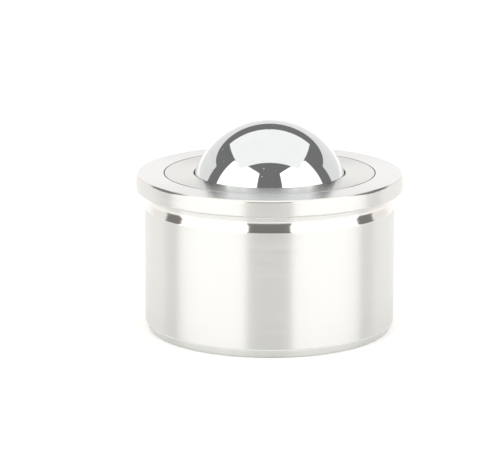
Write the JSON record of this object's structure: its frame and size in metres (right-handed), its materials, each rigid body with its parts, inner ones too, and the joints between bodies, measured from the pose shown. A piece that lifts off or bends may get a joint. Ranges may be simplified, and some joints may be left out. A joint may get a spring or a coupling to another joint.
{
  "type": "ball transfer unit",
  "caption": "Flanged, turned steel ball transfer unit: a large load ball stands out of a round housing and rolls in any direction on a bed of small support balls.",
  "frame": {"origin": "on the axis, at the underside of the housing, where the unit stands on a flat surface", "axes": "+Z along the axis, up towards the load ball; the part is round, so +X and +Y are any two directions square to it"},
  "size_m": [0.0532, 0.0532, 0.0418],
  "materials": {
    "turned_steel": "fine turned, bright, with a polished cove under the flange",
    "cover_steel": "fine faced, slightly greyer than the flange",
    "load_ball_steel": "ground and polished to a mirror",
    "support_ball_steel": "ground and polished",
    "hardened_steel": "hardened and ground",
    "felt": "pressed grey wool felt"
  },
  "bodies": {
    "housing_body": {"housing": "turned_steel", "load_cup": "hardened_steel", "cover_ring": "cover_steel"},
    "wiper_body": {"wiper_ring": "felt"},
    "ball_body": {"load_ball": "load_ball_steel"},
    "bed_body": {"support_ball_centre": "support_ball_steel", "support_ball_inner_1": "support_ball_steel", "support_ball_inner_2": "support_ball_steel", "support_ball_inner_3": "support_ball_steel", "support_ball_inner_4": "support_ball_steel", "support_ball_inner_5": "support_ball_steel", "support_ball_inner_6": "support_ball_steel", "support_ball_second_1": "support_ball_steel", "support_ball_second_2": "support_ball_steel", "support_ball_second_3": "support_ball_steel", "support_ball_second_4": "support_ball_steel", "support_ball_second_5": "support_ball_steel", "support_ball_second_6": "support_ball_steel", "support_ball_second_7": "support_ball_steel", "support_ball_second_8": "support_ball_steel", "support_ball_second_9": "support_ball_steel", "support_ball_second_10": "support_ball_steel", "support_ball_second_11": "support_ball_steel", "support_ball_second_12": "support_ball_steel", "support_balls_fourth_ring": "support_ball_steel", "support_balls_third_ring": "support_ball_steel", "support_balls_upper_rings": "support_ball_steel"}
  },
  "joints": [
    {"name": "ball_turn", "type": "hinge", "parent": "housing_body", "child": "wiper_body", "pos_m": [0, 0, 0.02593], "axis": [0, 0, 1], "continuous": true},
    {"name": "ball_roll", "type": "hinge", "parent": "wiper_body", "child": "ball_body", "pos_m": [0, 0, 0.02593], "axis": [1, 0, 0], "continuous": true},
    {"name": "bed_turn", "type": "hinge", "parent": "housing_body", "child": "bed_body", "pos_m": [0, 0, 0.02593], "axis": [0, 0, 1], "continuous": true}
  ],
  "couplings": [
    {"joint": "bed_turn", "follows": "ball_turn", "ratio": 0.4491}
  ]
}
